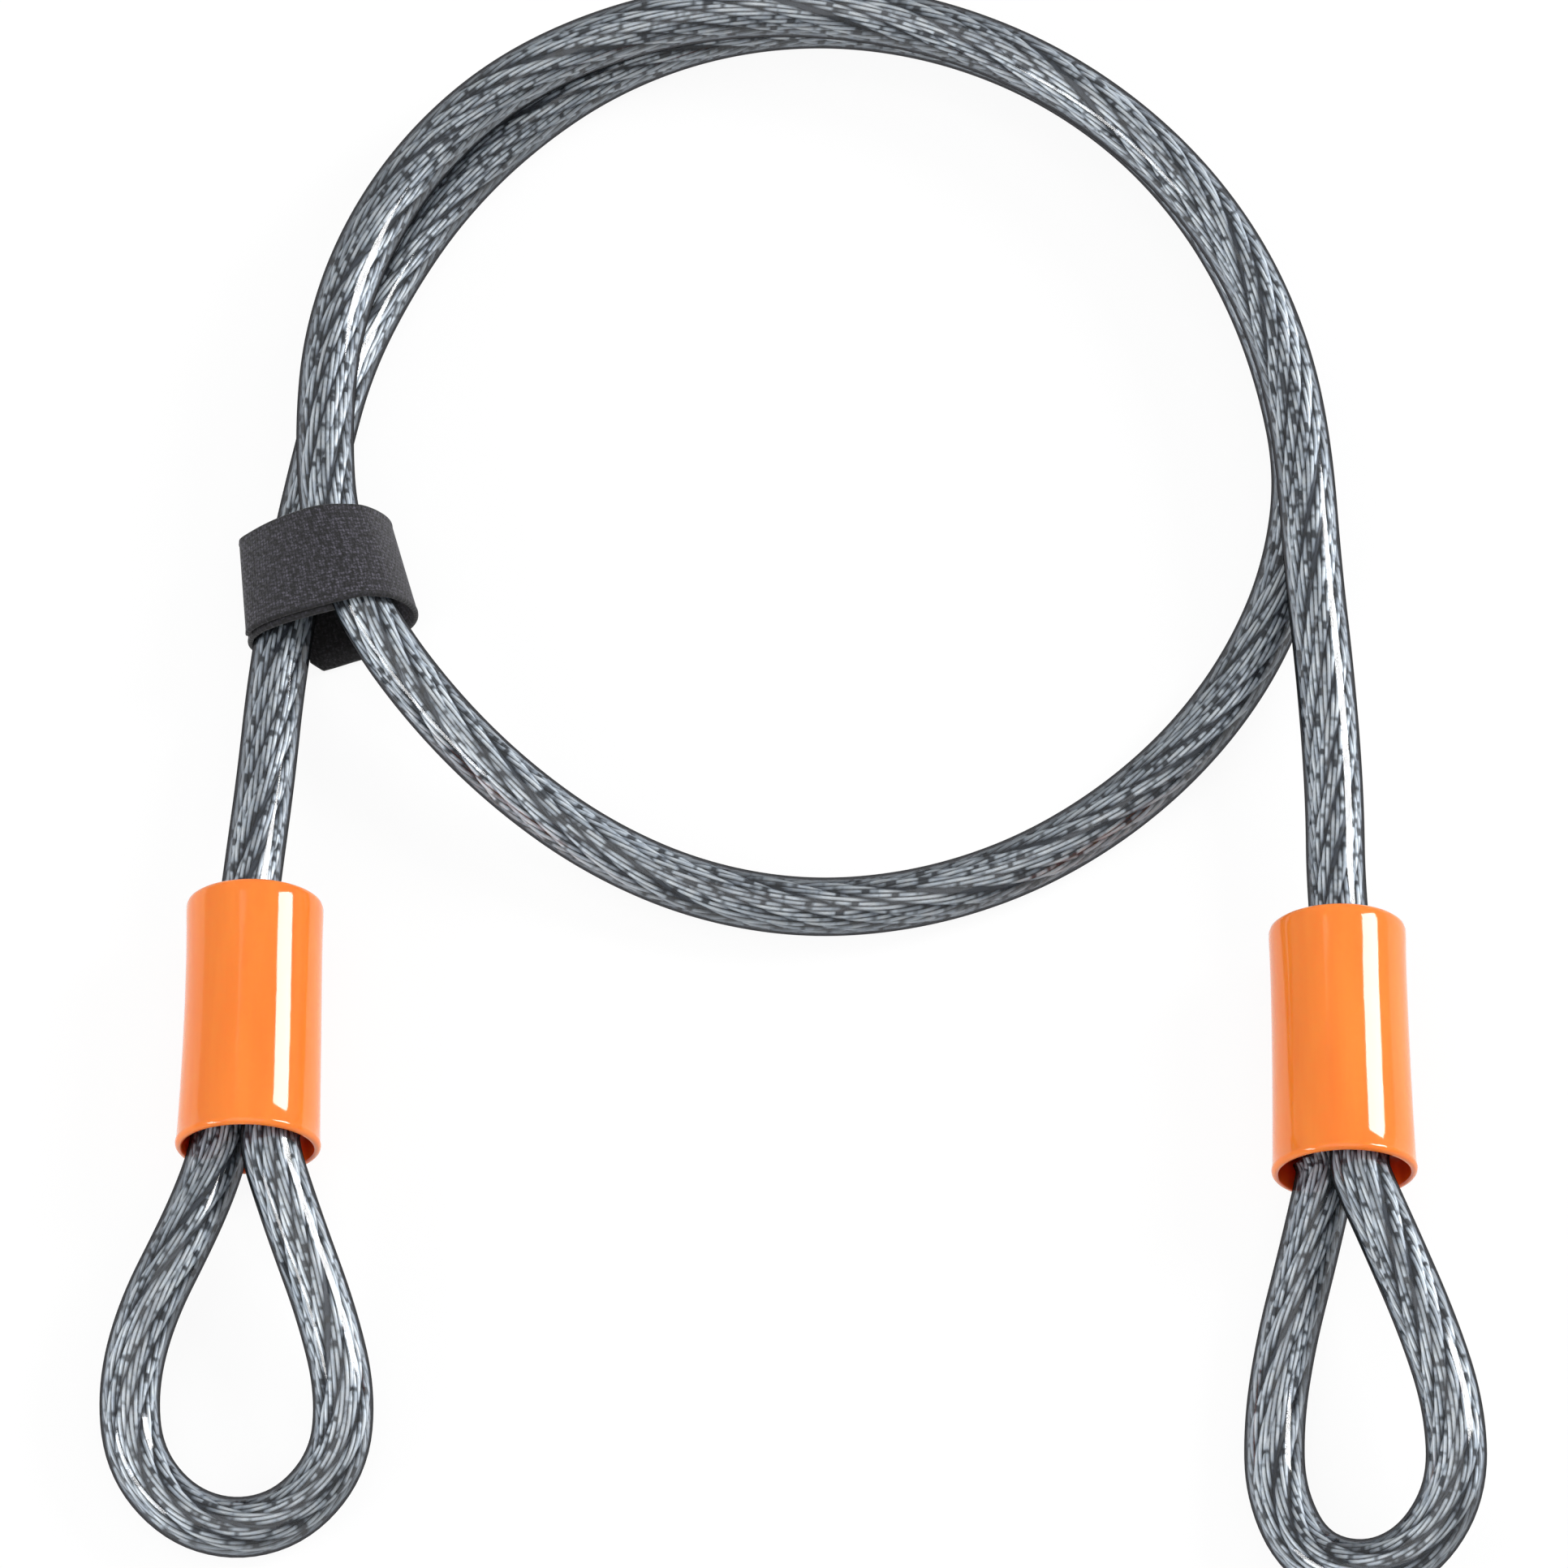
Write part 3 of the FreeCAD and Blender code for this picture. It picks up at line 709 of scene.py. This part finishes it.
# From there through the hole and back to the mouth: depth, radius, share of the hole's offset and painted
# shade
end_wall = [(sleeve_length, 10.3, 0.05, 0.0), (sleeve_length, hole_radius + 0.35, 1.0, 0.2)]
hole_wall = [
    (sleeve_length - 0.1, hole_radius + 0.1, 1.0, 0.33),
    (sleeve_length - 0.35, hole_radius, 1.0, 0.5),
    (sleeve_floor + 0.2, hole_radius, 1.0, 0.8),
    (sleeve_floor, hole_radius + 0.2, 1.0, 0.9),
]
inner_floor = [(sleeve_floor, hole_radius + 0.6, 1.0, 1.0), (sleeve_floor, sleeve_bore, 0.0, 1.0)]
inner_wall = [
    (sleeve_floor - 0.5, sleeve_bore, 0.0, 1.0),
    (8.0, sleeve_bore, 0.0, 0.95),
    (1.2, sleeve_bore + 0.5, 0.0, 0.55),
    (0.3, sleeve_bore + 0.62, 0.0, 0.40),
]
mouth_edge = [
    (0.08, sleeve_bore + 0.72, 0.0, 0.33),
    (0.0, sleeve_bore + 0.9, 0.0, 0.2),
    (0.0, sleeve_outside[0][1], 0.0, 0.0),
]


def rows_between(values, steps):
    """The given rows with evenly spaced ones between them."""
    rows = []
    for a, b in zip(values[:-1], values[1:]):
        for k in range(steps):
            t = k / steps
            rows.append(tuple(x * (1 - t) + y * t for x, y in zip(a, b)))
    rows.append(values[-1])
    return rows


def sleeve(name, mouth, main, shift, bow):
    """A sleeve from its mouth; shift moves it sideways and bow bends its middle sideways."""
    rows = [(depth, radius, 0.0, 0.0) for depth, radius in sleeve_outside]
    rows += rows_between(end_wall, 5) + hole_wall + rows_between(inner_floor, 4)
    rows += rows_between(inner_wall, 4) + mouth_edge
    grid = np.zeros((len(rows), sleeve_columns, 3))
    turns = np.linspace(0, 2 * math.pi, sleeve_columns, endpoint=False)
    for i, (depth, radius, share, shade) in enumerate(rows):
        centre_x = mouth[0] + shift + main[0] * hole_offset * share
        centre_x += bow * math.sin(math.pi * depth / sleeve_length)
        centre_z = mouth[2] + main[1] * hole_offset * share
        for j, turn in enumerate(turns):
            grid[i, j] = place(centre_x + radius * math.cos(turn), mouth[1] + depth,
                               centre_z + radius * math.sin(turn))
    around = np.linspace(0, 1, sleeve_columns + 1)
    along = np.array([row[0] for row in rows]) * MM
    piece = grid_mesh(name, grid, around, along)
    # Each row's painted shade, under the attribute name depth.
    add_values(piece, "depth", np.repeat([row[3] for row in rows], sleeve_columns))
    return close_mesh(piece, merge_distance=1e-6)


sides = [("left", left_mouth, left_main, 0.0, 0.2), ("right", right_mouth, right_main, 0.45, 0.0)]
for side, mouth, main, shift, bow in sides:
    cover = dress(sleeve(side + "_sleeve_cover", mouth, main, shift, bow), sleeve_material, "cable")
    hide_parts(side + "_sleeve")
    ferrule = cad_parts[side + "_ferrule"]
    ferrule.data.materials.clear()
    ferrule.data.materials.append(ferrule_material)


# Strap: webbing wrapped round both cables, its free end lapped over the other end

webbing_thickness = 0.9
strap_lean = math.radians(10.9)
strap_middle = (-84.45, -24.1)

# The strap tilts along the cables, by this much for each millimetre below its top
strap_tilt = 0.09
strap_top = 22.0


def strap_place(station, across, height):
    """A point of the strap: along the cables, across them and above the floor."""
    along = station + strap_tilt * (strap_top - height)
    return place(strap_middle[0] + math.cos(strap_lean) * across - math.sin(strap_lean) * along,
                 strap_middle[1] + math.sin(strap_lean) * across + math.cos(strap_lean) * along, height)


# Outer face at the lower edge and at the upper edge: across, height and station
flap_lower = [
    (7.5, 23.1, -10.2), (5.5, 23.6, -10.2), (1.5, 23.2, -10.2), (-3.0, 22.3, -10.2), (-7.0, 21.3, -10.2),
    (-10.5, 19.9, -10.2), (-13.2, 17.8, -10.2), (-14.7, 15.6, -10.2), (-15.0, 13.4, -10.2),
]
flap_upper = [
    (5.5, 23.4, 7.7), (3.0, 23.9, 7.9), (0.0, 22.9, 8.4), (-3.3, 20.3, 9.0), (-6.3, 17.7, 9.4),
    (-9.0, 15.1, 9.6), (-11.5, 12.3, 9.7), (-12.9, 10.2, 9.8), (-13.2, 8.2, 9.8),
]
band_lower = [
    (0.5, 21.8, -11.0), (-3.0, 21.1, -11.0), (-7.0, 20.0, -11.0), (-10.0, 18.4, -10.9), (-12.4, 16.2, -10.7),
    (-13.9, 13.6, -10.5), (-14.6, 11.0, -10.3), (-14.8, 8.3, -10.1), (-14.3, 5.4, -10.1), (-12.9, 2.6, -10.1),
    (-10.6, 0.75, -10.1), (-8.0, 0.1, -10.1), (-4.0, 0.1, -10.1), (0.0, 0.1, -10.1), (4.0, 0.1, -10.1),
    (8.0, 0.1, -10.1), (11.2, 0.7, -10.1), (13.4, 2.5, -10.2), (14.6, 5.3, -10.2), (15.0, 8.5, -10.2),
    (14.8, 11.6, -10.2), (13.9, 14.8, -10.2), (12.5, 17.9, -10.2), (10.5, 20.8, -10.2), (7.5, 23.1, -10.2),
]
band_upper = [
    (-5.2, 16.4, 9.1), (-5.8, 15.85, 9.2), (-7.0, 14.6, 9.4), (-8.8, 12.7, 9.5), (-10.5, 10.6, 9.6),
    (-11.7, 8.5, 9.7), (-12.2, 6.6, 9.7), (-12.1, 4.6, 9.7), (-11.3, 2.6, 9.7), (-9.8, 1.0, 9.7),
    (-8.0, 0.2, 9.7), (-6.0, 0.1, 9.6), (-3.0, 0.1, 9.5), (0.0, 0.1, 9.4), (3.0, 0.1, 9.3),
    (6.0, 0.1, 9.0), (9.2, 0.5, 8.8), (11.8, 2.3, 8.6), (13.1, 5.2, 8.5), (13.4, 8.6, 8.4),
    (12.8, 12.2, 8.2), (11.7, 15.6, 8.0), (10.2, 18.9, 7.8), (8.3, 21.6, 7.7), (5.5, 23.4, 7.7),
]


def smooth_rows(points, steps):
    """Points on a smooth line through the given ones."""
    points = np.array(points, float)
    slopes = np.gradient(points, axis=0)
    rows = []
    for k in range(len(points) - 1):
        for t in np.arange(steps) / steps:
            rows.append(points[k] * (1 + 2 * t) * (1 - t) ** 2 + slopes[k] * t * (1 - t) ** 2
                        + points[k + 1] * t * t * (3 - 2 * t) - slopes[k + 1] * t * t * (1 - t))
    rows.append(points[-1])
    return np.array(rows)


# Cross-section of webbing: share of its width and depth below the outer face, with thicker bound edges
webbing_outline = [
    (0.000, 0.50), (0.003, 0.16), (0.012, 0.00), (0.028, -0.05), (0.048, 0.00), (0.056, 0.07), (0.065, 0.05),
    (0.25, 0.05), (0.5, 0.05), (0.75, 0.05), (0.935, 0.05), (0.944, 0.07), (0.952, 0.00), (0.972, -0.05),
    (0.988, 0.00), (0.997, 0.16), (1.000, 0.50), (0.997, 0.84), (0.985, 0.98), (0.95, 1.0), (0.5, 1.0),
    (0.05, 1.0), (0.015, 0.98), (0.003, 0.84),
]


# Height of a place inside the strap, from which its faces turn outward
strap_core_height = 10


def ribbon(name, lower, upper, steps, outline, low, high, caps):
    """Webbing between two edge lines: the outline's depth runs from low to high, and caps are closed rows."""
    lower = smooth_rows(lower, steps)
    upper = smooth_rows(upper, steps)
    low_edge = np.array([strap_place(s, a, h) for a, h, s in lower])
    high_edge = np.array([strap_place(s, a, h) for a, h, s in upper])
    middle = (low_edge + high_edge) / 2
    outward = unit_rows(np.cross(np.gradient(middle, axis=0), high_edge - low_edge))
    halfway = len(outward) // 2
    if outward[halfway] @ (low_edge[halfway] - np.array(strap_place(0, 0, strap_core_height))) < 0:
        outward = -outward
    share = np.array([point[0] for point in outline])
    depth = low + (high - low) * np.array([point[1] for point in outline])
    grid = (low_edge[:, None, :] * (1 - share)[None, :, None] + high_edge[:, None, :] * share[None, :, None]
            - outward[:, None, :] * depth[None, :, None] * MM)
    lengths = np.linalg.norm(np.diff(middle, axis=0), axis=1)
    along = np.concatenate([[0], np.cumsum(lengths)]) / MM
    width = np.concatenate([share, share[:1]]) * strap_width
    numbers = np.arange(grid.shape[0] * grid.shape[1]).reshape(grid.shape[:2])
    return close_mesh(grid_mesh(name, grid, width, along), [numbers[row].tolist() for row in caps])


band = ribbon(
    "strap_band_webbing", band_lower, band_upper, 6, webbing_outline, 0.0, webbing_thickness, (0,))
dress(band, strap_material, "strap")
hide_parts("strap_band")

flap = ribbon(
    "strap_end_webbing", flap_lower, flap_upper, 8, webbing_outline, 0.0, webbing_thickness, (-1,))
flap.data.materials.append(strap_material)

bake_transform(flap)
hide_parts("strap_end")

# Patches: share of the strap's width and of the depth, each a little sunk into its webbing
patch_outline = [(0.08, 0.0), (0.5, 0.0), (0.92, 0.0), (0.92, 1.0), (0.5, 1.0), (0.08, 1.0)]
patch_sunk = 0.02
hook_height = 0.1
loop_height = 0.12
hook_patch = ribbon("hook_patch", flap_lower[3:7], flap_upper[3:7], 8, patch_outline,
                    webbing_thickness - patch_sunk, webbing_thickness + hook_height, (0, -1))
dress(hook_patch, patch_material, "strap_end")
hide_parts("strap_hook_patch")
loop_patch = ribbon("loop_patch", band_lower[1:5], band_upper[1:5], 8, patch_outline,
                    -loop_height, patch_sunk, (0, -1))
dress(loop_patch, patch_material, "strap")
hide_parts("strap_loop_patch")


# Tab: a short end of stiff webbing on the strap's lower panel, with one corner cut off

tab_left = -4.7
tab_root = -1.8
tab_end = -12.8
tab_chamfer = 2.0
tab_bottom = 1.0
tab_thickness = 0.7
tab_end_slope = math.tan(math.radians(7.4))
tab_edge_round = 0.12
tab_edge_reach = 0.35
tab_end_thin = 0.14
tab_end_share = 0.015
tab_wave = 0.05
tab_columns = 40
tab_rows = 36


def tab_end_at(across):
    """Where the tab ends along the strap's width, at a place across it."""
    inset = across - tab_left
    if inset < tab_chamfer:
        return tab_end + tab_chamfer - inset
    return tab_end + (inset - tab_chamfer) * tab_end_slope


def make_tab():
    """The tab's top and underside as one closed grid, with rounded edges and a thin, slightly wavy end."""
    places = np.linspace(0, 1, tab_columns)
    share = np.concatenate([places, places[::-1]])
    top = np.concatenate([np.ones(tab_columns), np.zeros(tab_columns)])
    from_edge = np.minimum(share, 1 - share) * tab_width
    rounding = tab_edge_round * (1 - from_edge / tab_edge_reach).clip(0, 1)
    grid = np.zeros((tab_rows, len(share), 3))
    for i in range(tab_rows):
        t = 1 - (1 - i / (tab_rows - 1)) ** 1.5
        thin = tab_end_thin * max(0.0, (t - 1 + tab_end_share) / tab_end_share)
        for j in range(len(share)):
            across = tab_left + share[j] * tab_width
            along = tab_root + (tab_end_at(across) - tab_root) * t
            inset = rounding[j] + thin
            height = tab_bottom + (tab_thickness - inset if top[j] else inset)
            height += tab_wave * math.sin(0.9 * across + 0.6 * along) * t
            grid[i, j] = strap_place(along - strap_tilt * (strap_top - height), across, height)
    piece = grid_mesh("strap_tab_webbing", grid, np.append(share, share[0]) * tab_width,
                      np.linspace(0, tab_root - tab_end, tab_rows))
    columns = len(share)
    ends = []
    for first in (0, (tab_rows - 1) * columns):
        for k in range(tab_columns - 1):
            ends.append((first + k, first + k + 1, first + columns - 2 - k, first + columns - 1 - k))
    return close_mesh(piece, ends)


tab = dress(make_tab(), shaded_tab_material, "strap")
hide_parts("strap_tab")


# Floor, light and background

floor_half = 3
floor_glow = 0.92


def floor_look():
    """A matt pale floor that looks almost white to the camera and in reflections, and keeps a soft shadow."""
    material, tree = new_look("floor")
    rays = add_node(tree, "ShaderNodeLightPath").outputs
    seen = math_node(tree, "MAXIMUM", rays["Is Camera Ray"], rays["Is Glossy Ray"])
    seen = math_node(tree, "MAXIMUM", seen, rays["Is Transmission Ray"])
    matt = add_node(tree, "ShaderNodeBsdfDiffuse", {"Color": (0.86, 0.86, 0.86, 1)}).outputs[0]
    glow = add_node(tree, "ShaderNodeEmission", {"Color": (1, 1, 1, 1), "Strength": 1.0}).outputs[0]
    share = math_node(tree, "MULTIPLY", seen, floor_glow)
    show(tree, add_node(tree, "ShaderNodeMixShader", {0: share, 1: matt, 2: glow}).outputs[0])
    return material


floor_mesh = bpy.data.meshes.new("floor")
floor_corners = [(x * floor_half, y * floor_half, 0) for x, y in ((-1, -1), (1, -1), (1, 1), (-1, 1))]
floor_mesh.from_pydata(floor_corners, [], [(0, 1, 2, 3)])
floor = bpy.data.objects.new("floor", floor_mesh)
bpy.context.scene.collection.objects.link(floor)
floor_mesh.materials.append(floor_look())


def softbox(name, position, width, length, power):
    """A rectangular lamp that faces the object."""
    data = bpy.data.lights.new(name, "AREA")
    data.shape = "RECTANGLE"
    data.size = width
    data.size_y = length
    data.energy = power
    lamp = bpy.data.objects.new(name, data)
    bpy.context.scene.collection.objects.link(lamp)
    lamp.location = position
    lamp.rotation_euler = Vector(position).to_track_quat("Z", "Y").to_euler()


softbox("strip_right", (1.23, 0.48, 0.86), 0.50, 0.70, 22)
softbox("strip_left", (-1.15, -0.55, 0.75), 0.80, 0.30, 9)
softbox("overhead", (-0.15, -0.35, 1.45), 1.9, 1.6, 10)

world = bpy.data.worlds.new("studio")
bpy.context.scene.world = world
world.use_nodes = True
background = world.node_tree.nodes["Background"]
background.inputs["Color"].default_value = (1, 1, 1, 1)
background.inputs["Strength"].default_value = 0.48

bpy.context.scene.view_settings.view_transform = "Standard"
